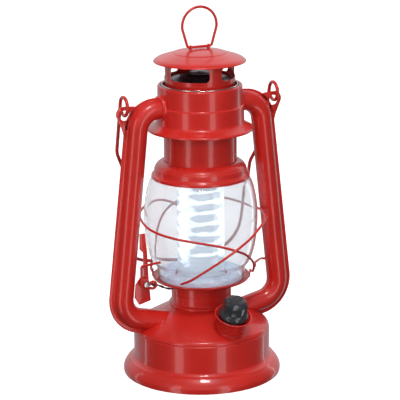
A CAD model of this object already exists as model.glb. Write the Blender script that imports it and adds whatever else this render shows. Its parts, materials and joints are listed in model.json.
"""Battery hurricane lantern: the finished pieces, their materials and the studio, as one operator each."""
import math

import bpy
from bpy.props import FloatProperty, FloatVectorProperty, IntProperty, PointerProperty
from mathutils import Matrix, Vector
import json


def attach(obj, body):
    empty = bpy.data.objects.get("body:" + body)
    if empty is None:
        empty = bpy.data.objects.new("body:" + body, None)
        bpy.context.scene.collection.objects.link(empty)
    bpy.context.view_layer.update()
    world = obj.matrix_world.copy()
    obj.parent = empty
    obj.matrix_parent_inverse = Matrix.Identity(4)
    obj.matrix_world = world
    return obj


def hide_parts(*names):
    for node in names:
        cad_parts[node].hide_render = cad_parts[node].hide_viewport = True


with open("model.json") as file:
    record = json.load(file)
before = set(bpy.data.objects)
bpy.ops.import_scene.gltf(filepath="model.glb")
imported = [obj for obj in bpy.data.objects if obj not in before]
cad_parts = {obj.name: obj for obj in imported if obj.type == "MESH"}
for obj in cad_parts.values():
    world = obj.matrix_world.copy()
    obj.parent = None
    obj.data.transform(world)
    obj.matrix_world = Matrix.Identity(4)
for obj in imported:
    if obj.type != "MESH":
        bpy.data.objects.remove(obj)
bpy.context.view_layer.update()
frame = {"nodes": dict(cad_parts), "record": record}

bl_info = {
    "name": "Hurricane Lantern",
    "version": (1, 0, 0),
    "blender": (4, 5, 0),
    "location": "3D View > Sidebar > Lantern",
    "description": "Builds the enamelled pieces, the globe, the lamp column and the wires of a hurricane lantern",
    "category": "Add Mesh",
}

MM = 0.001
STEPS = 32                # spans round a turned piece before subdivision
LEVELS = 2                # subdivision of a turned piece
RIM_HOLD = 0.22           # how tightly the cut edge of a sheet stays square
SHEET_EDGE = 0.12         # rounding along the edge of a flat plate
WELD = 2e-6               # vertices closer than this are merged, in metres

# Tank, in millimetres
CONE_R = (19.9, 41.8)
CONE_Z = (44.7, 32.4)

# Filler cup and dimmer knob lean out from the tank on one axis
FILLER_ANGLE = math.radians(6.0)
FILLER_TILT = math.radians(21.4)
FILLER_R = 34.9
FILLER_Z = 36.4
KNOB_FLUTES = 8
FLUTE_START = 13.6
FLUTE_BLEND = 2.4
FLUTE_DEPTH = 1.35

# Lamp column
LAMP_R = 15.1
LAMP_Z = (66.6, 130.4)
LAMP_PLAIN = 0.6          # smooth band above and below the ribs
LAMP_DIM_Z = (66.0, 79.0)
RIB_PITCH = 3.45

# Side tubes, in the XZ plane
TUBE_R = 6.6
SEAM = 3.1
SEAM_FADE = (26.0, 48.0)  # distances from the axis between which the seam grows to its full height
TUBE_CORNERS = ((25.9, 176.0), (42.0, 175.0), (56.0, 43.0), (25.0, 36.2))
TUBE_BENDS = (13.5, 14.0)
EAR_HOLE = (51.6, 173.8)

# Bail
BAIL_EYE_R = 5.8
BAIL_Z = EAR_HOLE[1] + BAIL_EYE_R
BAIL_LEAN = math.radians(13.5)

# Guard wires: angle from the front towards the right in degrees, radius, height
GUARD_RIGHT = ((-49, 31.6, 66.0), (-36, 34.5, 70), (-23, 37.4, 76), (-5, 39.4, 84), (10, 40.2, 90),
               (27, 40.6, 95.5), (50, 41.0, 101), (70, 41.1, 102.5), (95, 41.0, 103), (133, 40.2, 105),
               (165, 39.8, 105), (177, 39.8, 103), (187, 39.8, 100), (197, 39.2, 94.5), (206, 37.8, 87),
               (213, 36.4, 79), (220, 35.0, 72), (229, 33.6, 67.6), (238, 32.8, 66.0))
GUARD_LEFT = ((58, 33.2, 66.5), (52, 34.6, 70), (42, 36.0, 76), (25, 37.6, 83.5), (10, 38.0, 88.5),
              (-8, 38.4, 93), (-28, 38.9, 96), (-50, 39.3, 98), (-72, 39.5, 99.8), (-92, 39.3, 102),
              (-115, 39.0, 105), (-144, 38.8, 106.8), (-158, 38.6, 106.6), (-170, 38.1, 104.5),
              (-180, 37.9, 101), (-192, 37.7, 94), (-204, 36.6, 86), (-214, 35.0, 78), (-222, 33.4, 71.5),
              (-229, 31.8, 66.0))
GUARD_HOOK = ((28.8, -20.0, 70.6), (32.0, -13.6, 70.9), (36.6, -7.0, 69.6), (42.0, 0.6, 67.8), (46.6, 6.8, 66.2),
              (52.0, 8.6, 65.0))
TAB_ANGLES = (62.0, 242.0)

# Lift lever
LEVER_Y = -8.4
LEVER_PIVOT = (-42.7, 65.4)
LEVER_EYE_R = 2.25
LEVER_LINK = (-36.8, 63.25)
LINK_STRAND_R = 0.42
LINK_OFFSET = 0.36
LINK_TWIST = 0.42         # radians from one point of the path to the next

# Finger ring and hood
RING_Z = 212.9
RING_HALF = (8.2, 11.8)
RING_ARC_Z = 226.2
HOOD_TOP = 211.6
HOOD_CURVE = 66.0

# Slots of the vent collar
VENT_R = 22.8
SLOT_Z = 198.3
SLOT_HALF_HEIGHT = 4.3
SLOT_HALF_ANGLE = math.radians(34.0)
SLOT_CORNER = 2.6
SLOT_TURN = 46.4

# Studio: places in metres, angles in degrees
CAMERA_PLACE = (-0.5042, -1.0844, 0.4376)
CAMERA_LENS = 174.45
CAMERA_AZIMUTH = -24.916
CAMERA_TILT = 74.829
CAMERA_ROLL = -0.427
FRONT = -24.9             # azimuth that the soft boxes are set out from
LIGHT_TARGET = Vector((0, 0, 0.115))
AHEAD = (0.421, 0.907, 0.0)


# ---------------- what a user would change

def thickness(name, description, default, low, high):
    return FloatProperty(name=name, description=description, default=default * MM, min=low * MM, max=high * MM,
                         unit="LENGTH", precision=5)


def colour_of(name, description, default):
    return FloatVectorProperty(name=name, description=description, subtype="COLOR", default=default, min=0, max=1)


class LanternSizes(bpy.types.PropertyGroup):
    """Thicknesses of sheet and wire, and the density of small details"""
    sheet: thickness("Sheet", "Thickness of the pressed steel", 0.8, 0.3, 2)
    guard_wire: thickness("Guard wire", "Radius of the wires round the globe", 0.8, 0.3, 1.5)
    bail_wire: thickness("Bail wire", "Radius of the handle's wire", 1.1, 0.5, 2)
    ring_wire: thickness("Ring wire", "Radius of the finger ring's wire", 0.85, 0.3, 1.5)
    lever_wire: thickness("Lever wire", "Radius of the lift lever's wire", 0.9, 0.3, 1.5)
    globe_wall: thickness("Globe wall", "Thickness of the clear globe", 1.5, 0.8, 3)
    vent_holes: IntProperty(name="Vent holes", description="Small holes round the top of the crown", default=44,
                            min=12, max=80)


class LanternColours(bpy.types.PropertyGroup):
    """Colours of the finishes"""
    enamel: colour_of("Enamel", "Glossy enamel on the steel", (0.64, 0.019, 0.013))
    lamp: colour_of("Lamp", "Light of the column", (0.72, 0.86, 1.0))
    globe: colour_of("Globe", "Tint of the clear globe", (0.90, 0.91, 0.93))
    knob: colour_of("Knob", "Moulded knob", (0.035, 0.040, 0.045))
    steel: colour_of("Steel", "Bare steel", (0.74, 0.72, 0.69))
    floor: colour_of("Floor", "Studio floor", (0.93, 0.93, 0.93))


# ---------------- materials

def new_material(name, roughness, metallic=0.0, **sockets):
    """A material with one Principled shader; single values are set on its own sockets."""
    mat = bpy.data.materials.new(name)
    mat.use_nodes = True
    shader = mat.node_tree.nodes["Principled BSDF"]
    shader.inputs["Roughness"].default_value = roughness
    shader.inputs["Metallic"].default_value = metallic
    for socket, value in sockets.items():
        shader.inputs[socket.replace("_", " ")].default_value = value
    return mat, mat.node_tree, shader


def noise(tree, scale, detail, stretch):
    """Noise on Object coordinates; scale counts features per metre."""
    place = tree.nodes.new("ShaderNodeTexCoord")
    mapping = tree.nodes.new("ShaderNodeMapping")
    mapping.inputs["Scale"].default_value = stretch
    texture = tree.nodes.new("ShaderNodeTexNoise")
    texture.inputs["Scale"].default_value = scale
    texture.inputs["Detail"].default_value = detail
    tree.links.new(place.outputs["Object"], mapping.inputs["Vector"])
    tree.links.new(mapping.outputs["Vector"], texture.inputs["Vector"])
    return texture.outputs["Fac"]


def ramp(tree, factor, stops):
    node = tree.nodes.new("ShaderNodeValToRGB")
    node.color_ramp.elements[0].position, node.color_ramp.elements[1].position = stops[0][0], stops[-1][0]
    node.color_ramp.elements[0].color, node.color_ramp.elements[1].color = stops[0][1], stops[-1][1]
    for position, colour in stops[1:-1]:
        node.color_ramp.elements.new(position).color = colour
    tree.links.new(factor, node.inputs["Fac"])
    return node.outputs["Color"]


def to_range(tree, value, low, high, start=0.0, end=1.0):
    """Maps a value that runs from start to end to one that runs from low to high."""
    node = tree.nodes.new("ShaderNodeMapRange")
    for socket, limit in (("From Min", start), ("From Max", end), ("To Min", low), ("To Max", high)):
        node.inputs[socket].default_value = limit
    tree.links.new(value, node.inputs["Value"])
    return node.outputs["Result"]


def bump(tree, shader, height, strength, distance):
    node = tree.nodes.new("ShaderNodeBump")
    node.inputs["Strength"].default_value = strength
    node.inputs["Distance"].default_value = distance
    tree.links.new(height, node.inputs["Height"])
    tree.links.new(node.outputs["Normal"], shader.inputs["Normal"])


def grey(value):
    return (value, value, value, 1)


def shade(colour, factor):
    return (*(min(1.0, c * factor) for c in colour), 1.0)


def tone(tree, shader, factor, colour, contrast):
    """Base colour that runs from a little darker to a little lighter than the given one."""
    stops = [(0.3, shade(colour, 1 - contrast)), (0.7, shade(colour, 1 + contrast))]
    tree.links.new(ramp(tree, factor, stops), shader.inputs["Base Color"])


def two_tone(name, colour, roughness, rough_spread, scale, grain, metallic=0.0, stretch=(1, 1, 1), contrast=0.12,
             **sockets):
    """Colour, roughness and fine relief that vary over the piece; grain is scale, strength and depth."""
    mat, tree, shader = new_material(name, roughness, metallic, **sockets)
    tone(tree, shader, noise(tree, scale, 3.0, stretch), colour, contrast)
    fine = noise(tree, grain[0], 2.0, stretch)
    spread = to_range(tree, fine, roughness - rough_spread, roughness + rough_spread)
    tree.links.new(spread, shader.inputs["Roughness"])
    bump(tree, shader, fine, grain[1], grain[2])
    return mat


def enamel_material(colour):
    """Sprayed enamel: a clear gloss coat, slight orange peel, and a darker tone where it pools."""
    return two_tone("glossy_enamel", colour, 0.36, 0.08, 34.0, (560.0, 0.07, 0.0003), contrast=0.10,
                    Coat_Weight=0.5, Coat_Roughness=0.07, Specular_IOR_Level=0.5)


def globe_material(tint):
    """Clear moulded globe with faint flow lines and a slight haze."""
    mat, tree, shader = new_material("clear_globe", 0.04, Transmission_Weight=0.88, IOR=1.16, Coat_Weight=0.8,
                                     Coat_Roughness=0.03)
    flow = noise(tree, 34.0, 2.0, (1, 1, 0.35))
    tone(tree, shader, flow, tint, 0.03)
    tree.links.new(to_range(tree, flow, 0.02, 0.07), shader.inputs["Roughness"])
    bump(tree, shader, flow, 0.06, 0.0006)
    return mat


def lamp_material(light):
    """Lit diffuser: bright bars over the lamps, cooler gaps between them, and a dim foot."""
    mat, tree, shader = new_material("lit_diffuser", 0.25)
    place = tree.nodes.new("ShaderNodeTexCoord")
    split = tree.nodes.new("ShaderNodeSeparateXYZ")
    tree.links.new(place.outputs["Object"], split.inputs["Vector"])

    def calculate(kind, a, b):
        # MULTIPLY_ADD keeps the node's own 0.5 as the number it adds
        node = tree.nodes.new("ShaderNodeMath")
        node.operation = kind
        for socket, value in zip(node.inputs, (a, b)):
            if isinstance(value, (int, float)):
                socket.default_value = value
            else:
                tree.links.new(value, socket)
        return node.outputs["Value"]

    height, x, y = split.outputs["Z"], split.outputs["X"], split.outputs["Y"]
    bars = calculate("SINE", calculate("MULTIPLY", height, math.tau / (RIB_PITCH * 2 * MM)), 0.0)
    angle = calculate("ARCTAN2", y, x)
    thirds = calculate("SINE", calculate("ADD", calculate("MULTIPLY", angle, 3.0), 0.68), 0.0)
    gaps = calculate("MULTIPLY", calculate("MULTIPLY_ADD", bars, 0.45),
                     calculate("MULTIPLY_ADD", thirds, 0.5))
    cloud = calculate("MULTIPLY", noise(tree, 120.0, 3.0, (1, 1, 2.6)), 1.3)
    foot = to_range(tree, height, 1.05, 0.0, LAMP_DIM_Z[0] * MM, LAMP_DIM_Z[1] * MM)
    dim = calculate("ADD", calculate("ADD", gaps, cloud), foot)
    colour = ramp(tree, dim, [(0.6, grey(1)), (0.76, shade(light, 1.05)), (0.9, shade(light, 0.84)),
                              (1.0, shade(light, 0.50))])
    tree.links.new(colour, shader.inputs["Base Color"])
    tree.links.new(colour, shader.inputs["Emission Color"])
    shader.inputs["Emission Strength"].default_value = 0.85
    bump(tree, shader, cloud, 0.1, 0.0004)
    return mat


def materials():
    """Every finish of the lantern by its slot name, made once."""
    if "glossy_enamel" in bpy.data.materials:
        return {m["slot"]: m for m in bpy.data.materials if "slot" in m}
    colours = bpy.context.scene.lantern_colours
    made = {
        "red_enamel": enamel_material(colours.enamel),
        "clear_globe": globe_material(colours.globe),
        "led_diffuser": lamp_material(colours.lamp),
        "bare_steel": two_tone("bright_steel", colours.steel, 0.26, 0.08, 90.0, (1500.0, 0.08, 0.0001), 1.0,
                               (1, 1, 6)),
        "dark_wire": two_tone("dark_wire", (0.10, 0.012, 0.012), 0.35, 0.1, 120.0, (900.0, 0.2, 0.0002), 0.2,
                              contrast=0.5),
        "knob_plastic": two_tone("knob_plastic", colours.knob, 0.14, 0.05, 60.0, (1300.0, 0.18, 0.0002),
                                 contrast=0.2, Specular_IOR_Level=0.6),
        "black_plastic": two_tone("black_plastic", (0.022, 0.022, 0.025), 0.42, 0.08, 70.0, (1500.0, 0.3, 0.0002)),
        "grey_plastic": two_tone("grey_plastic", (0.20, 0.21, 0.22), 0.45, 0.08, 70.0, (1500.0, 0.2, 0.0002)),
        "white_plastic": two_tone("white_plastic", (0.72, 0.76, 0.82), 0.3, 0.06, 60.0, (1200.0, 0.1, 0.0002),
                                  contrast=0.04),
        "led_board_white": two_tone("board_white", (0.70, 0.72, 0.70), 0.5, 0.05, 80.0, (1400.0, 0.1, 0.0002)),
        "cell_wrap": two_tone("cell_wrap", (0.03, 0.035, 0.05), 0.3, 0.08, 60.0, (900.0, 0.1, 0.0002), 0.5),
        "lit_saucer": two_tone("lit_saucer", (0.62, 0.70, 0.84), 0.2, 0.06, 170.0, (1100.0, 0.1, 0.0002),
                               stretch=(1, 1, 3), contrast=0.3, Emission_Color=(0.60, 0.70, 0.90, 1),
                               Emission_Strength=0.34),
        "baffle_dark": two_tone("baffle_dark", (0.03, 0.032, 0.045), 0.3, 0.08, 60.0, (900.0, 0.1, 0.0002), 0.6),
    }
    for slot_name, mat in made.items():
        mat["slot"] = slot_name
    return made


# ---------------- modelling helpers

def start_clean():
    """Object mode, with nothing selected."""
    if bpy.context.object and bpy.context.object.mode != "OBJECT":
        bpy.ops.object.mode_set(mode="OBJECT")
    bpy.ops.object.select_all(action="DESELECT")


def pick(obj):
    start_clean()
    obj.select_set(True)
    bpy.context.view_layer.objects.active = obj


def apply_modifier(obj, kind, **values):
    pick(obj)
    bpy.ops.object.modifier_add(type=kind)
    mod = obj.modifiers[-1]
    for key, value in values.items():
        setattr(mod, key, value)
    bpy.ops.object.modifier_apply(modifier=mod.name)


def turn_by(degrees, axis):
    return Matrix.Rotation(math.radians(degrees), 4, axis)


def shift(x, y, z):
    """A move in millimetres."""
    return Matrix.Translation((x * MM, y * MM, z * MM))


def put_at(obj, matrix):
    """Moves a piece by a matrix and leaves its object at the origin."""
    obj.matrix_world = matrix @ obj.matrix_world
    pick(obj)
    bpy.ops.object.transform_apply(location=True, rotation=True, scale=True)


def tidy_mesh(obj):
    """Merges vertices that lie on one another and turns every face outwards."""
    pick(obj)
    bpy.ops.object.mode_set(mode="EDIT")
    bpy.ops.mesh.select_all(action="SELECT")
    bpy.ops.mesh.remove_doubles(threshold=WELD)
    bpy.ops.mesh.normals_make_consistent(inside=False)
    bpy.ops.object.mode_set(mode="OBJECT")


def finish_piece(obj, name, body, slot_name, nodes=(), angle=38.0):
    """Names a piece, gives it its finish, and puts it on its body."""
    pick(obj)
    bpy.ops.object.transform_apply(location=True, rotation=True, scale=True)
    obj.name = obj.data.name = name
    obj.data.materials.clear()
    obj.data.materials.append(materials()[slot_name])
    bpy.ops.object.shade_smooth_by_angle(angle=math.radians(angle))
    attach(obj, body)
    if nodes:
        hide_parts(*nodes)


def held(profile, closed):
    """Adds rows beside a corner that has a third value, so that subdivision keeps it that tight."""
    rows = []
    for i, point in enumerate(profile):
        here = Vector(point[:2])
        if len(point) < 3:
            rows.append(here)
            continue
        inside = closed or 0 < i < len(profile) - 1
        before, after = profile[i - 1], profile[(i + 1) % len(profile)]
        for other, first in ((before, True), (after, False)):
            if not inside and (first != (i > 0)):
                continue
            away = Vector(other[:2]) - here
            place = here + away.normalized() * min(point[2], away.length * 0.4)
            rows.append(place)
            if first:
                rows.append(here)
        if not inside and i == 0:
            rows.insert(len(rows) - 1, here)
    return rows


def inset(outer, wall):
    """Rows of the inner face of a sheet, each a wall's thickness inside the row of the outer face."""
    inner = []
    for i, point in enumerate(outer):
        before, after = outer[max(i - 1, 0)], outer[min(i + 1, len(outer) - 1)]
        dr, dz = after[0] - before[0], after[1] - before[1]
        length = math.hypot(dr, dz)
        inner.append((point[0] + dz / length * wall, point[1] - dr / length * wall, *point[2:]))
    return inner


def walled(outer, wall):
    """Closed profile of a sheet whose outer face runs through the given rows."""
    inner = inset(outer, wall)
    ends = [(*p[:2], RIM_HOLD) for p in (outer[0], outer[-1], inner[-1], inner[0])]
    return [ends[0]] + list(outer[1:-1]) + [ends[1], ends[2]] + inner[1:-1][::-1] + [ends[3]]


def turned(profile, closed=True, steps=STEPS):
    """A circle raised and scaled row by row through (radius, height), closed, then subdivided.

    Subdividing draws a ring of vertices inwards, so every row starts wider by that much.
    """
    rows = held(profile, closed)
    if closed:
        rows.append(rows[0])
    grow = 1.0 / (2.0 / 3.0 + math.cos(math.tau / steps) / 3.0)
    start_clean()
    radius, height = rows[0]
    bpy.ops.mesh.primitive_circle_add(vertices=steps, radius=radius * grow * MM, location=(0, 0, 0))
    obj = bpy.context.object
    bpy.ops.object.mode_set(mode="EDIT")
    bpy.ops.mesh.select_all(action="SELECT")
    bpy.ops.transform.translate(value=(0, 0, height * MM))
    for r, z in rows[1:]:
        bpy.ops.mesh.extrude_edges_move(TRANSFORM_OT_translate={"value": (0, 0, (z - height) * MM)})
        bpy.ops.transform.resize(value=(r / radius, r / radius, 1), center_override=(0, 0, z * MM))
        radius, height = r, z
    bpy.ops.mesh.select_all(action="SELECT")
    bpy.ops.mesh.remove_doubles(threshold=1e-6)
    if not closed:
        bpy.ops.mesh.fill_holes(sides=0)
    bpy.ops.mesh.select_all(action="SELECT")
    bpy.ops.mesh.normals_make_consistent(inside=False)
    bpy.ops.object.mode_set(mode="OBJECT")
    apply_modifier(obj, "SUBSURF", levels=LEVELS, render_levels=LEVELS)
    return obj


def arc(centre, radius, start, end, steps):
    """Points on a circle from one angle to another, in degrees."""
    points = []
    for i in range(steps + 1):
        a = math.radians(start + (end - start) * i / steps)
        points.append((centre[0] + radius * math.cos(a), centre[1] + radius * math.sin(a)))
    return points


def fillet(points, radii, steps=8):
    """Rounds the inner corners of a path."""
    path = [Vector(points[0])]
    for i in range(1, len(points) - 1):
        here = Vector(points[i])
        back = (Vector(points[i - 1]) - here).normalized()
        ahead = (Vector(points[i + 1]) - here).normalized()
        half = math.acos(max(-1.0, min(1.0, back.dot(ahead)))) / 2
        reach = radii[i - 1] / math.tan(half)
        centre = here + (back + ahead).normalized() * (radii[i - 1] / math.sin(half))
        start, end = here + back * reach - centre, here + ahead * reach - centre
        turn = start.angle(end)
        axis = start.cross(end).normalized()
        path += [centre + Matrix.Rotation(turn * k / steps, 3, axis) @ start for k in range(steps + 1)]
    return path + [Vector(points[-1])]


def smooth_curve(points, per_span=5):
    """Catmull-Rom curve through the points."""
    points = [Vector(p) for p in points]
    ends = [points[0] * 2 - points[1]] + points + [points[-1] * 2 - points[-2]]
    path = []
    for p0, p1, p2, p3 in zip(ends, ends[1:], ends[2:], ends[3:]):
        for k in range(per_span):
            t = k / per_span
            path.append(0.5 * (2 * p1 + (p2 - p0) * t + (2 * p0 - 5 * p1 + 4 * p2 - p3) * t * t
                               + (3 * p1 - p0 - 3 * p2 + p3) * t ** 3))
    return path + [points[-1]]


def set_spline(data, points, cyclic):
    spline = data.splines.new("POLY")
    spline.points.add(len(points) - 1)
    for point, place in zip(spline.points, points):
        point.co = (*(Vector(place).to_3d() * MM), 1.0)
    spline.use_cyclic_u = cyclic


def new_curve(add, outlines, cyclic, dimensions="2D"):
    """A curve that holds the given outlines only."""
    start_clean()
    add(location=(0, 0, 0))
    obj = bpy.context.object
    obj.data.splines.clear()
    obj.data.dimensions = dimensions
    for outline in outlines:
        set_spline(obj.data, outline, cyclic)
    return obj


def as_mesh(upright=True):
    """Makes the active curve a mesh, and stands one that was drawn flat up in the XZ plane."""
    bpy.ops.object.convert(target="MESH")
    obj = bpy.context.object
    if upright:
        put_at(obj, turn_by(90, "X"))
    tidy_mesh(obj)
    return obj


def wire(path, radius, closed=False):
    """A round wire along a path in millimetres, as a closed mesh."""
    data = new_curve(bpy.ops.curve.primitive_nurbs_path_add, [path], closed, "3D").data
    data.bevel_depth = radius
    data.bevel_resolution = 4
    data.use_fill_caps = not closed
    if not closed:
        points = data.splines[0].points
        points[0].radius = points[-1].radius = 0.75
    return as_mesh(upright=False)


def cut_sheet(outlines, wall):
    """A flat plate with rounded edges from an outline and its holes, standing in the XZ plane at y 0."""
    data = new_curve(bpy.ops.curve.primitive_bezier_circle_add, outlines, True).data
    data.fill_mode = "BOTH"
    data.extrude = (wall / 2 - SHEET_EDGE) * MM
    data.bevel_depth = SHEET_EDGE * MM
    data.bevel_resolution = 2
    data.offset = -SHEET_EDGE * MM
    return as_mesh()


def sweep(path, section):
    """A section of (outward, sideways) points carried along a path that lies in the XZ plane."""
    shape = new_curve(bpy.ops.curve.primitive_bezier_circle_add, [section], True)
    data = new_curve(bpy.ops.curve.primitive_nurbs_path_add, [path], False).data
    data.bevel_mode = "OBJECT"
    data.bevel_object = shape
    data.use_fill_caps = True
    obj = as_mesh()
    bpy.data.objects.remove(shape)
    return obj


def join(objects):
    start_clean()
    for obj in objects:
        obj.select_set(True)
    bpy.context.view_layer.objects.active = objects[0]
    bpy.ops.object.join()
    return bpy.context.object


def cut_away(obj, tool):
    apply_modifier(obj, "BOOLEAN", object=tool, operation="DIFFERENCE", solver="EXACT")
    bpy.data.objects.remove(tool)


def polar(angle, radius, height):
    """A point by its angle from the front, in degrees, its distance from the axis and its height."""
    a = math.radians(angle)
    return (radius * math.sin(a), -radius * math.cos(a), height)


def filler_matrix():
    """Frame of the filler cup: its Z leans out and forward from the tank."""
    radial = Vector((math.sin(FILLER_ANGLE), -math.cos(FILLER_ANGLE), 0))
    up = Vector((0, 0, 1)) * math.cos(FILLER_TILT) + radial * math.sin(FILLER_TILT)
    across = up.cross(radial).normalized()
    turn = Matrix((across.cross(up), across, up)).transposed().to_4x4()
    return Matrix.Translation((radial * FILLER_R + Vector((0, 0, FILLER_Z))) * MM) @ turn


def cone_height(radius):
    """Height of the tank's sloping top at a distance from the axis."""
    slope = (CONE_Z[1] - CONE_Z[0]) / (CONE_R[1] - CONE_R[0])
    return CONE_Z[0] + (radius - CONE_R[0]) * slope


def tube_end():
    """Frame at the inner end of the right tube, its Z along the tube."""
    (x0, z0), (x1, z1) = TUBE_CORNERS[:2]
    slope = math.atan2(z0 - z1, x1 - x0)
    return (shift(0, 0, z0 + math.tan(slope) * x0)
            @ Matrix.Rotation(math.radians(90) + slope, 4, "Y"))


# ---------------- operators, one for each piece or group

class LanternOperator:
    bl_options = {"REGISTER", "UNDO"}

    def execute(self, context):
        self.build(context.scene.lantern_sizes)
        return {"FINISHED"}


class LANTERN_OT_tank(LanternOperator, bpy.types.Operator):
    """Pressed tank with its sloping top, beaded shoulder, straight wall and rolled foot"""
    bl_idname = "lantern.tank"
    bl_label = "Tank"

    def build(self, sizes):
        outer = [(18.3, cone_height(18.3)), (22.0, cone_height(22.0)), (39.5, cone_height(39.5)),
                 (41.6, 32.35, 0.5), (42.7, 31.7), (43.5, 30.6), (43.75, 29.6, 0.25), (43.45, 29.1, 0.2),
                 (43.95, 28.5, 0.25), (44.0, 27.6), (44.0, 12.0), (44.05, 11.2, 0.3), (44.9, 10.0),
                 (46.2, 9.2), (47.0, 8.9, 0.25), (47.6, 8.2), (49.3, 6.4), (50.4, 4.4), (50.85, 3.4, 0.2),
                 (51.0, 2.6), (51.0, 0.9), (50.85, 0.0)]
        piece = turned(walled(outer, sizes.sheet / MM))
        finish_piece(piece, "tank", "root", "red_enamel", ["tank_shell"])


class LANTERN_OT_neck(LanternOperator, bpy.types.Operator):
    """Neck on the tank, with the guide that the gallery slides on"""
    bl_idname = "lantern.neck"
    bl_label = "Neck"

    def build(self, sizes):
        low = cone_height(20.6) + 0.1
        outer = [(18.5, 58.0), (18.5, 53.1), (18.7, 52.85, 0.1), (19.25, 52.85, 0.12), (19.35, 52.0), (19.3, 48.0),
                 (19.45, 47.2), (20.2, 46.7), (20.9, 46.1), (21.0, 45.4, 0.15), (20.6, low)]
        piece = turned(walled(outer, sizes.sheet / MM))
        finish_piece(piece, "neck", "root", "red_enamel", ["neck_collar"])


class LANTERN_OT_lamp(LanternOperator, bpy.types.Operator):
    """Lamp holder, ribbed diffuser column and its cap"""
    bl_idname = "lantern.lamp"
    bl_label = "Lamp column"

    def build(self, sizes):
        base = [(17.3, 50.0, 0.2), (17.3, 60.0, 0.2), (15.7, 60.4, 0.2), (15.7, 63.0), (15.9, 63.5), (15.7, 64.0),
                (15.6, 65.6, 0.2), (15.1, 66.2, 0.2), (2.0, 66.25), (0.5, 66.25)]
        finish_piece(turned(base, closed=False), "lamp_holder", "root", "white_plastic", ["led_base"])
        low, high = LAMP_Z
        ribbed = high - low - 2 * LAMP_PLAIN
        count = round(ribbed / RIB_PITCH)
        outer = [(LAMP_R, high)]
        for k in range(count):
            z = high - LAMP_PLAIN - (k + 0.5) * ribbed / count
            outer += [(LAMP_R, z + 1.0), (LAMP_R - 0.12, z + 0.45), (LAMP_R - 0.42, z), (LAMP_R - 0.12, z - 0.45),
                      (LAMP_R, z - 1.0)]
        outer.append((LAMP_R, low))
        inner = [(LAMP_R - 1.3, low, 0.2), (LAMP_R - 1.3, high, 0.2)]
        column = turned([(*outer[0], 0.2)] + outer[1:-1] + [(*outer[-1], 0.2)] + inner)
        finish_piece(column, "lamp_column", "root", "led_diffuser", ["diffuser_tube"])
        cap = [(LAMP_R, high + 0.35, 0.2), (LAMP_R, high + 1.2, 0.3), (13.6, high + 2.0, 0.3), (6.0, high + 2.0),
               (0.5, high + 2.0)]
        finish_piece(turned(cap, closed=False), "lamp_cap", "root", "white_plastic", ["diffuser_cap"])


class LANTERN_OT_globe(LanternOperator, bpy.types.Operator):
    """Clear barrel globe, and the pale ringed saucer that its foot stands on"""
    bl_idname = "lantern.globe"
    bl_label = "Globe"

    def build(self, sizes):
        outer = [(28.0, 133.6), (28.0, 130.4), (30.1, 129.2), (31.9, 128.1), (32.9, 126.3), (34.0, 123.0),
                 (34.9, 119.5), (36.2, 111.5), (36.5, 104.0), (36.2, 94.5), (35.0, 84.5), (33.4, 78.6), (32.0, 75.2),
                 (31.4, 74.0), (31.0, 73.6), (29.7, 71.8), (29.3, 71.3), (28.7, 69.6), (28.4, 68.2), (28.2, 66.0),
                 (27.9, 63.1)]
        foot = [(26.9, 62.9, 0.2), (26.5, 63.3, 0.2)]
        inner = inset(outer, sizes.globe_wall / MM)[:-1][::-1]
        profile = [(*outer[0], 0.2)] + outer[1:] + foot + inner[:-1] + [(*inner[-1], 0.2)]
        finish_piece(turned(profile), "globe_glass", "globe_carriage", "clear_globe", ["globe"], angle=60)
        saucer = [(19.7, 63.1, 0.15), (26.3, 63.1, 0.15), (26.3, 66.3, 0.15), (25.6, 66.1)]
        for k in range(5):
            r = 24.8 - 1.7 * k
            saucer += [(r + 0.3, 65.6), (r - 0.4, 66.7, 0.1), (r - 1.1, 65.6)]
        saucer += [(16.6, 66.0, 0.15), (16.6, 65.3, 0.15), (19.7, 65.3, 0.15)]
        finish_piece(turned(saucer), "globe_saucer", "globe_carriage", "lit_saucer")


class LANTERN_OT_gallery(LanternOperator, bpy.types.Operator):
    """Dish that carries the globe, with its sleeve and the two clips for the guard"""
    bl_idname = "lantern.gallery"
    bl_label = "Gallery"

    def build(self, sizes):
        outline = [(30.9, 64.0, 0.15), (31.35, 63.9, 0.15), (31.4, 63.2), (30.9, 62.5), (30.3, 62.1), (29.4, 61.8),
                   (28.0, 61.65), (21.6, 61.6), (20.4, 61.4), (19.7, 60.9), (19.4, 60.0), (19.4, 53.3),
                   (19.4, 53.0, 0.15), (18.85, 53.0, 0.15), (18.85, 62.3, 0.2), (19.4, 62.5), (28.4, 62.5),
                   (29.6, 62.9), (30.3, 63.5)]
        parts = [turned(outline)]
        for angle in TAB_ANGLES:
            tab = cut_sheet([[(-2.6, 63.0), (2.6, 63.0), (2.6, 66.3), (1.9, 67.0), (-1.9, 67.0), (-2.6, 66.3)]], 0.8)
            put_at(tab, turn_by(angle, "Z") @ shift(0, -31.3, 0))
            parts.append(tab)
            roll = wire([(-2.4, -31.95, 66.5), (2.4, -31.95, 66.5)], 0.75 * MM)
            put_at(roll, turn_by(angle, "Z"))
            parts.append(roll)
        finish_piece(join(parts), "gallery_dish", "globe_carriage", "red_enamel", ["gallery"])


class LANTERN_OT_guard(LanternOperator, bpy.types.Operator):
    """The two crossing wires round the globe and the hook behind the right tube"""
    bl_idname = "lantern.guard"
    bl_label = "Guard wires"

    def build(self, sizes):
        for name, course, node in (("guard_right", GUARD_RIGHT, "guard_wire_right"),
                                   ("guard_left", GUARD_LEFT, "guard_wire_left")):
            piece = wire(smooth_curve([polar(*p) for p in course]), sizes.guard_wire)
            finish_piece(piece, name, "globe_carriage", "red_enamel", [node])
        piece = wire(smooth_curve(GUARD_HOOK), sizes.guard_wire)
        finish_piece(piece, "guard_hook", "globe_carriage", "red_enamel", ["guard_guide"])


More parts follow.
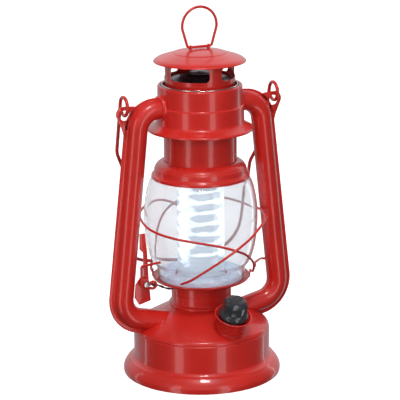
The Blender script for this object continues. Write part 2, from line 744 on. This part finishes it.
class LANTERN_OT_chimney(LanternOperator, bpy.types.Operator):
    """Chimney, stepped globe cap, slotted vent collar and its dark baffle"""
    bl_idname = "lantern.chimney"
    bl_label = "Chimney"

    def build(self, sizes):
        sheet = sizes.sheet / MM * 0.75
        tube = walled([(23.2, 186.0), (23.2, 160.0), (23.2, 140.2), (23.35, 139.3), (23.5, 138.6)], sheet)
        finish_piece(turned(tube), "chimney", "chimney", "red_enamel", ["chimney_tube"])
        cap = [(23.4, 140.2), (24.2, 140.1), (26.3, 139.2), (27.9, 137.9), (28.5, 137.0), (28.7, 136.4, 0.2),
               (29.2, 135.9, 0.2), (29.5, 134.6), (29.65, 133.0, 0.4), (30.1, 132.2), (30.6, 131.6, 0.2),
               (31.1, 131.3), (31.35, 130.8), (31.4, 130.3), (31.4, 129.3)]
        finish_piece(turned(walled(cap, 0.7)), "globe_cap_band", "chimney", "red_enamel", ["globe_cap"])
        self.vent(sheet)
        baffle = [(21.2, 190.6, 0.2), (21.2, 191.2, 0.2), (18.6, 192.4), (18.0, 193.2), (17.3, 192.9), (13.6, 194.2),
                  (13.0, 195.0), (12.3, 194.7), (8.6, 195.8), (8.0, 196.5), (7.3, 196.3), (2.0, 197.0), (0.5, 197.0),
                  (0.5, 196.4), (7.0, 195.6), (20.6, 190.6, 0.2)]
        finish_piece(turned(baffle, closed=False), "vent_baffle", "chimney", "baffle_dark")

    def vent(self, sheet):
        outer = [(VENT_R, 204.2), (22.7, 199.0), (22.5, 194.5), (22.3, 191.5), (22.05, 190.4, 0.3), (21.9, 189.6),
                 (21.9, 182.5)]
        body = turned(walled(outer, sheet), steps=48)
        half_w = VENT_R * math.sin(SLOT_HALF_ANGLE) - SLOT_CORNER
        half_h = SLOT_HALF_HEIGHT - SLOT_CORNER
        slot_shape = []
        for corner, (u, v) in enumerate(((1, -1), (1, 1), (-1, 1), (-1, -1))):
            centre = (u * half_w, SLOT_Z + v * half_h)
            slot_shape += arc(centre, SLOT_CORNER, 90 * corner - 90, 90 * corner, 7)
        for quarter in range(4):
            tool = cut_sheet([slot_shape], 16.0)
            put_at(tool, turn_by(90 * quarter + SLOT_TURN, "Z") @ shift(0, 20.0, 0))
            cut_away(body, tool)
        finish_piece(body, "vent_ring", "chimney", "red_enamel", ["vent_collar"])


class LANTERN_OT_hood(LanternOperator, bpy.types.Operator):
    """Domed hood with the pressed step, the rolled rim and the two lugs of the ring"""
    bl_idname = "lantern.hood"
    bl_label = "Hood"

    def build(self, sizes):
        def dome(r):
            return (r, HOOD_TOP - r * r / (2 * HOOD_CURVE))
        outer = [dome(r) for r in (0.6, 5.0, 10.0, 13.5, 15.6)]
        outer += [(16.6, dome(16.6)[1] - 0.02, 0.3), (17.3, dome(17.3)[1] - 0.3, 0.3)]
        outer += [(r, dome(r)[1] - 0.28) for r in (20.0, 24.0)]
        outer += [(26.6, 206.15), (28.0, 205.35), (28.9, 204.6), (29.25, 204.15), (29.3, 203.85), (29.1, 203.75)]
        inner = [(28.6, 203.95), (27.2, 204.75), (24.0, 206.0), (18.0, 207.8), (10.0, 209.8), (0.6, 210.6)]
        parts = [turned(outer + inner, closed=False)]
        for side in (-1, 1):
            lug = cut_sheet([[(-1.9, 209.6)] + arc((0, RING_Z), 1.3, 0, 180, 10)[::-1] + [(1.9, 209.6)],
                             arc((0, RING_Z), 1.0, 0, 345, 14)], 0.9)
            put_at(lug, shift(6.2 * side, 0, 0) @ turn_by(90, "Z"))
            parts.append(lug)
        finish_piece(join(parts), "top_hood", "chimney", "red_enamel", ["hood"])


class LANTERN_OT_ring(LanternOperator, bpy.types.Operator):
    """Finger ring: a rounded triangle of wire through the hood's lugs"""
    bl_idname = "lantern.ring"
    bl_label = "Finger ring"

    def build(self, sizes):
        narrow, wide = RING_HALF
        top = [(x, 0, z) for x, z in arc((0, RING_ARC_Z), wide, -8, 188, 40)]
        foot = fillet([top[-1], (-narrow, 0, RING_Z), (narrow, 0, RING_Z), top[0]], (1.8, 1.8))
        piece = wire([Vector(p) for p in top] + foot[1:-1], sizes.ring_wire, closed=True)
        finish_piece(piece, "ring_wire", "ring", "red_enamel", ["finger_ring"])


class LANTERN_OT_crown(LanternOperator, bpy.types.Operator):
    """Crown that joins the side tubes, its bright inner ring, sockets and small vent holes"""
    bl_idname = "lantern.crown"
    bl_label = "Crown"

    def build(self, sizes):
        outer = [(24.8, 189.1), (25.6, 189.15), (26.2, 189.1), (26.6, 188.8), (26.85, 188.3), (26.9, 187.6),
                 (26.9, 177.2), (26.9, 176.5, 0.2), (27.2, 176.15, 0.2), (27.85, 175.9, 0.2), (27.9, 175.2),
                 (27.9, 166.2), (28.0, 165.2), (28.7, 164.3), (30.6, 163.0), (32.8, 161.9), (33.5, 161.4),
                 (33.7, 160.9), (33.7, 160.2)]
        body = turned(walled(outer, sizes.sheet / MM))
        holes = []
        for k in range(sizes.vent_holes):
            x, y, z = polar(360.0 * k / sizes.vent_holes, 25.75, 189.0)
            start_clean()
            bpy.ops.mesh.primitive_cylinder_add(vertices=10, radius=0.42 * MM, depth=3.2 * MM,
                                                location=(x * MM, y * MM, z * MM))
            holes.append(bpy.context.object)
        cut_away(body, join(holes))
        parts = [body]
        for side in (-1, 1):
            rim = turned([(6.5, -1.6, 0.2), (8.3, -1.6, 0.3), (8.3, 0.0), (7.9, 0.8), (7.2, 1.1, 0.2),
                          (6.5, 1.1, 0.2)])
            put_at(rim, Matrix.Diagonal((side, 1, 1, 1)) @ tube_end() @ shift(0, 0, 27.7))
            tidy_mesh(rim)
            parts.append(rim)
        finish_piece(join(parts), "crown_band", "root", "red_enamel", ["crown"])
        ring = [(24.4, 189.3), (24.4, 185.9, 0.1), (23.6, 185.9, 0.1), (23.6, 189.3), (23.8, 189.6), (24.2, 189.6)]
        finish_piece(turned(ring), "crown_bright_ring", "root", "bare_steel", ["crown_ring"])


class LANTERN_OT_tubes(LanternOperator, bpy.types.Operator):
    """Side tubes with the folded outer seam, and the ears that hold the bail"""
    bl_idname = "lantern.tubes"
    bl_label = "Side tubes"

    def build(self, sizes):
        for name, side, node in (("tube_left", -1, "side_tube_left"), ("tube_right", 1, "side_tube_right")):
            corners = [Vector((x * side, z, 0)) for x, z in TUBE_CORNERS]
            path = fillet(corners, TUBE_BENDS, 20)
            tube = sweep(path, [(-n * side, b) for n, b in self.section()])
            self.fade_seam(tube, path)
            finish_piece(join([tube, self.ear(side)]), name, "root", "red_enamel", [node])

    def section(self):
        """Round, with two pressed sheets meeting in the outer seam and a shallow inner crease."""
        half = 0.55
        start = math.degrees(math.asin(0.95 / TUBE_R))
        ring = arc((0, 0), TUBE_R, start, 171, 18) + [(-TUBE_R + 0.28, 0.0)]
        ring += arc((0, 0), TUBE_R, 189, 360 - start, 18)
        low = [(TUBE_R + 0.45, -half), (TUBE_R + SEAM - 0.3, -half), (TUBE_R + SEAM, -half + 0.3)]
        return ring + low + [(n, -b) for n, b in low[::-1]]

    def fade_seam(self, tube, path):
        """Lowers the seam where the tube enters the crown."""
        start, end = SEAM_FADE
        for vert in tube.data.vertices:
            near = min(path, key=lambda p: (p.x * MM - vert.co.x) ** 2 + (p.y * MM - vert.co.z) ** 2)
            offset = Vector((vert.co.x - near.x * MM, 0, vert.co.z - near.y * MM))
            reach = abs(near.x)
            over = offset.length - TUBE_R * MM
            if over > 0.2 * MM and near.y > 150 and reach < end:
                keep = max(0.25, (reach - start) / (end - start))
                vert.co -= offset.normalized() * over * (1 - keep)

    def ear(self, side):
        tip = arc((52.4, 174.6), 4.9, -14, 76, 10)
        outline = [(43.0, 175.5), (49.0, 167.0), (50.5, 158.0), (51.8, 158.0), (53.4, 164.8)]
        outline += tip + [(50.4, 179.4), (46.0, 179.1), (43.0, 178.6)]
        hole = arc(EAR_HOLE, 3.3, 0, 345, 23)
        return cut_sheet([[(x * side, z) for x, z in shape] for shape in (outline, hole)], 1.1)


class LANTERN_OT_bail(LanternOperator, bpy.types.Operator):
    """Wire handle with an eye through each ear"""
    bl_idname = "lantern.bail"
    bl_label = "Bail"

    def build(self, sizes):
        eye_x = EAR_HOLE[0] + 0.4
        turn = [math.radians(310 - 310 * i / 28) for i in range(28)]
        eye = [Vector((eye_x, BAIL_EYE_R * math.cos(a), BAIL_EYE_R * math.sin(a))) for a in turn]
        corners = [(eye_x, 0), (51.7, 35.0), (44.0, 52.0), (43.0, 115.0), (0, 120.0)]
        strand = fillet([(x, BAIL_EYE_R, -drop) for x, drop in corners], (14.0, 12.0, 24.0))
        half = eye + strand
        lean = Matrix.Rotation(BAIL_LEAN, 3, "X")
        path = [lean @ p + Vector((0, 0, BAIL_Z))
                for p in [Vector((-p.x, p.y, p.z)) for p in half[:-1]] + half[::-1]]
        finish_piece(wire(path, sizes.bail_wire), "bail_wire", "bail", "red_enamel", ["bail_handle"])


class LANTERN_OT_lever(LanternOperator, bpy.types.Operator):
    """Bracket on the left tube, its pin, the thumb lever and the twisted link to the neck"""
    bl_idname = "lantern.lever"
    bl_label = "Lift lever"

    def build(self, sizes):
        x, z = LEVER_PIVOT
        outline = [(-44.0, 97.0), (-40.6, 97.2), (-39.4, 86.6), (-38.4, 66.0), (-37.2, 52.4), (-45.2, 50.4),
                   (-48.2, 55.5), (-47.4, 64.0), (-44.4, 68.2), (-41.0, 69.5), (-42.0, 84.6), (-44.3, 87.0)]
        plate = cut_sheet([outline, arc((x, z), 1.35, 0, 345, 20)], 1.0)
        put_at(plate, shift(0, -3.1, 0))
        flange = cut_sheet([[(-6.4, 69.6), (-5.8, 84.4), (-3.2, 84.4), (-3.2, 69.6)]], 0.8)
        put_at(flange, shift(-41.75, 0, 0) @ turn_by(90, "Z"))
        plate = join([plate, flange])
        finish_piece(plate, "bracket", "root", "red_enamel", ["lever_bracket"])
        pin = [(0.4, 1.4), (1.5, 1.4), (1.9, 1.1, 0.1), (1.9, 0.5, 0.1), (1.0, 0.5, 0.1), (1.0, -7.1, 0.1),
               (1.9, -7.1, 0.1), (1.9, -7.7, 0.1), (1.5, -7.9), (0.4, -7.9)]
        rivet = turned(pin, closed=False, steps=16)
        put_at(rivet, shift(x, LEVER_Y - 0.9, z) @ turn_by(90, "X"))
        finish_piece(rivet, "rivet", "root", "bare_steel", ["lever_pivot"])
        self.lever(sizes)
        self.link()

    def lever(self, sizes):
        x, z = LEVER_PIVOT
        wrap = 430.0
        drop = 2.0 / 360.0

        def coil(centre, start, sweep_angle, steps, y_start, y_step):
            points = []
            for k in range(steps + 1):
                a = math.radians(start + sweep_angle * k / steps)
                points.append((centre[0] + LEVER_EYE_R * math.cos(a), y_start + y_step * sweep_angle * k / steps,
                               centre[1] + LEVER_EYE_R * math.sin(a)))
            return points

        thumb = fillet([(-37.6, LEVER_Y - 12.0, 82.4), (-45.4, LEVER_Y, 77.4), (-45.4, LEVER_Y, 70.0),
                        (x - LEVER_EYE_R, LEVER_Y, z)], (1.8, 6.0))
        turns = coil((x, z), 180, wrap, 40, LEVER_Y, drop)
        hook = coil(LEVER_LINK, 250, 290, 20, LEVER_Y + drop * wrap, 0.0)
        piece = wire([Vector(p) for p in thumb] + [Vector(p) for p in turns[1:] + hook], sizes.lever_wire)
        finish_piece(piece, "lever_wire", "lever", "red_enamel", ["lift_lever"])

    def link(self):
        x, z = LEVER_LINK
        course = [(x, LEVER_Y - 0.8, z), (x, -6.0, z), (x + 0.2, -3.4, z), (-34.5, -2.4, 62.6), (-30.0, -2.4, 60.6),
                  (-25.0, -2.0, 58.2), (-20.6, -1.5, 57.2)]
        path = smooth_curve(course, 8)
        strands = []
        for phase in (0.0, math.pi):
            points = []
            for i, p in enumerate(path):
                along = (path[min(i + 1, len(path) - 1)] - path[max(i - 1, 0)]).normalized()
                side = along.cross(Vector((0, 0, 1))).normalized()
                up = side.cross(along)
                a = phase + i * LINK_TWIST
                points.append(p + (side * math.cos(a) + up * math.sin(a)) * LINK_OFFSET)
            strands.append(wire(points, LINK_STRAND_R * MM))
        finish_piece(join(strands), "link_wire", "globe_carriage", "dark_wire", ["lift_link"])


class LANTERN_OT_dimmer(LanternOperator, bpy.types.Operator):
    """Threaded filler cup and the fluted dimmer knob that turns in it"""
    bl_idname = "lantern.dimmer"
    bl_label = "Filler cup and knob"

    def build(self, sizes):
        cup = [(11.2, 11.7), (11.8, 11.75), (12.1, 11.4), (12.05, 10.9), (11.5, 10.3, 0.2), (10.3, 9.7),
               (9.5, 9.2, 0.2), (9.1, 8.6)]
        for i in range(4):
            top = 7.9 - 1.8 * i
            cup += [(8.5, top, 0.1), (9.75, top - 0.5, 0.1), (9.75, top - 0.9, 0.1), (8.5, top - 1.4, 0.1)]
        cup += [(8.7, 0.5), (8.7, -5.0, 0.1), (7.9, -5.0, 0.1), (7.9, 7.6), (8.4, 8.6), (9.9, 9.6), (10.7, 11.2)]
        body = turned(cup)
        put_at(body, filler_matrix())
        finish_piece(body, "cup", "root", "red_enamel", ["filler_cup"])
        knob = [(3.1, 10.9), (3.1, 10.6, 0.2), (8.8, 10.6, 0.2), (9.3, 11.0), (9.35, 12.0), (9.25, 12.9), (8.8, 13.5),
                (8.5, 14.1, 0.2), (8.3, 15.2), (8.0, 17.5), (7.8, 20.4, 0.5), (7.5, 21.4, 0.3), (5.7, 23.2, 0.3),
                (4.0, 23.45), (0.5, 23.5)]
        body = turned(knob, closed=False, steps=48)
        sector = math.tau / KNOB_FLUTES
        for vert in body.data.vertices:
            r = math.hypot(vert.co.x, vert.co.y) / MM
            rise = max(0.0, min(1.0, (vert.co.z / MM - FLUTE_START) / FLUTE_BLEND))
            if rise == 0 or r < 3.2:
                continue
            turn = math.atan2(vert.co.y, vert.co.x) % sector - sector / 2
            facet = math.cos(sector / 2) / math.cos(turn)
            scale = 1.0 + rise * FLUTE_DEPTH * (facet - 1.0)
            vert.co.x *= scale
            vert.co.y *= scale
        put_at(body, filler_matrix())
        finish_piece(body, "knob", "knob", "knob_plastic", ["dimmer_knob"], angle=30)


class LANTERN_OT_finishes(LanternOperator, bpy.types.Operator):
    """Finishes for the parts that keep their own shape: the battery box, door, boards and screws"""
    bl_idname = "lantern.finishes"
    bl_label = "Inner finishes"

    def build(self, sizes):
        kinds = materials()
        slots = {item["node"]: item["material_slot"] for item in frame["record"]["subparts"]}
        for node, obj in frame["nodes"].items():
            obj.data.materials.clear()
            obj.data.materials.append(kinds[slots[node]])


class LANTERN_OT_stage(bpy.types.Operator):
    """Pale floor, soft boxes and camera"""
    bl_idname = "lantern.stage"
    bl_label = "Studio"
    bl_options = {"REGISTER", "UNDO"}

    def execute(self, context):
        self.floor(context.scene.lantern_colours.floor)
        self.lights(context.scene)
        self.camera(context.scene)
        return {"FINISHED"}

    def floor(self, colour):
        start_clean()
        bpy.ops.mesh.primitive_grid_add(x_subdivisions=24, y_subdivisions=24, size=24, location=(0, 0, -0.0001))
        obj = bpy.context.object
        obj.name = "floor"
        obj.visible_glossy = obj.visible_diffuse = False
        mat = two_tone("studio_floor", colour, 0.6, 0.05, 3.0, (60.0, 0.02, 0.0005), contrast=0.01,
                       Emission_Color=(1, 1, 1, 1), Emission_Strength=0.6)
        obj.data.materials.append(mat)

    def lights(self, scene):
        # name, azimuth, elevation, distance, width, height, power, whether it shows in reflections
        boxes = (("strip_left", FRONT - 38, -8, 1.2, 0.30, 1.9, 4.2, True),
                 ("strip_right", FRONT + 33, -8, 1.2, 0.30, 1.9, 4.4, True),
                 ("rim_left", FRONT - 109, -8, 1.3, 0.10, 1.9, 1.4, True),
                 ("rim_right", FRONT + 128, -8, 1.3, 0.10, 1.9, 1.1, True),
                 ("front_window", -18.0, 62, 1.3, 0.22, 0.14, 5.5, True),
                 ("front_fill", FRONT, 22, 2.3, 1.5, 1.5, 17.0, False),
                 ("overhead", 150, 80, 2.6, 4.4, 4.4, 38.0, False))
        for name, azimuth, elevation, distance, width, height, power, mirrored in boxes:
            bpy.ops.object.light_add(type="AREA", location=(0, 0, 0))
            light = bpy.context.object
            light.name = name
            light.data.shape = "RECTANGLE"
            light.data.size, light.data.size_y = width, height
            light.data.energy = power
            light.visible_glossy = mirrored
            light.visible_camera = False
            a, e = math.radians(azimuth), math.radians(elevation)
            away = Vector((math.sin(a) * math.cos(e), -math.cos(a) * math.cos(e), math.sin(e)))
            light.location = LIGHT_TARGET + away * distance
            light.rotation_euler = away.to_track_quat("Z", "Y").to_euler()
        self.surroundings(scene)

    def surroundings(self, scene):
        """A soft sky that is bright ahead of the camera and dim behind it, for the reflections."""
        world = bpy.data.worlds.new("studio")
        scene.world = world
        world.use_nodes = True
        tree = world.node_tree
        place = tree.nodes.new("ShaderNodeTexCoord")
        ahead = tree.nodes.new("ShaderNodeVectorMath")
        ahead.operation = "DOT_PRODUCT"
        ahead.inputs[1].default_value = AHEAD
        tree.links.new(place.outputs["Generated"], ahead.inputs[0])
        split = tree.nodes.new("ShaderNodeSeparateXYZ")
        tree.links.new(place.outputs["Generated"], split.inputs["Vector"])
        across = ramp(tree, to_range(tree, ahead.outputs["Value"], 0.0, 1.0, -1.0),
                      [(0.0, grey(0.10)), (0.68, grey(0.13)), (0.82, (0.68, 0.68, 0.72, 1)),
                       (1.0, (0.85, 0.85, 0.88, 1))])
        height = ramp(tree, to_range(tree, split.outputs["Z"], 0.0, 1.0, -1.0),
                      [(0.0, grey(0.6)), (0.5, grey(0.62)), (0.7, grey(1)), (0.92, grey(1)), (1.0, grey(0.4))])
        both = tree.nodes.new("ShaderNodeMix")
        both.data_type = "RGBA"
        both.blend_type = "MULTIPLY"
        both.inputs["Factor"].default_value = 1.0
        tree.links.new(across, both.inputs[6])
        tree.links.new(height, both.inputs[7])
        tree.links.new(both.outputs[2], tree.nodes["Background"].inputs["Color"])
        tree.nodes["Background"].inputs["Strength"].default_value = 1.2
        scene.view_settings.view_transform = "Standard"

    def camera(self, scene):
        bpy.ops.object.camera_add(location=CAMERA_PLACE)
        camera = bpy.context.object
        camera.name = "camera"
        camera.data.lens = CAMERA_LENS
        camera.data.sensor_width = 36.0
        camera.data.clip_start = 0.05
        turn = (Matrix.Rotation(math.radians(CAMERA_AZIMUTH), 3, "Z")
                @ Matrix.Rotation(math.radians(CAMERA_TILT), 3, "X")
                @ Matrix.Rotation(math.radians(CAMERA_ROLL), 3, "Z"))
        camera.rotation_euler = turn.to_euler()
        scene.camera = camera


class LANTERN_PT_panel(bpy.types.Panel):
    """The lantern's pieces and finishes"""
    bl_label = "Hurricane Lantern"
    bl_idname = "LANTERN_PT_panel"
    bl_space_type = "VIEW_3D"
    bl_region_type = "UI"
    bl_category = "Lantern"

    def draw(self, context):
        for group in (context.scene.lantern_sizes, context.scene.lantern_colours):
            box = self.layout.box()
            for key in group.bl_rna.properties.keys():
                if key not in ("rna_type", "name"):
                    box.prop(group, key)
        for operator in PIECES:
            self.layout.operator(operator.bl_idname)


PIECES = (LANTERN_OT_tank, LANTERN_OT_neck, LANTERN_OT_lamp, LANTERN_OT_globe, LANTERN_OT_gallery, LANTERN_OT_guard,
          LANTERN_OT_chimney, LANTERN_OT_hood, LANTERN_OT_ring, LANTERN_OT_crown, LANTERN_OT_tubes, LANTERN_OT_bail,
          LANTERN_OT_lever, LANTERN_OT_dimmer, LANTERN_OT_finishes, LANTERN_OT_stage)
CLASSES = (LanternSizes, LanternColours) + PIECES + (LANTERN_PT_panel,)


def register():
    for item in CLASSES:
        bpy.utils.register_class(item)
    bpy.types.Scene.lantern_sizes = PointerProperty(type=LanternSizes)
    bpy.types.Scene.lantern_colours = PointerProperty(type=LanternColours)


def unregister():
    del bpy.types.Scene.lantern_colours
    del bpy.types.Scene.lantern_sizes
    for item in reversed(CLASSES):
        bpy.utils.unregister_class(item)


def main():
    register()
    for operator in PIECES:
        group, name = operator.bl_idname.split(".")
        getattr(getattr(bpy.ops, group), name)()
    start_clean()


if __name__ == "__main__":
    main()
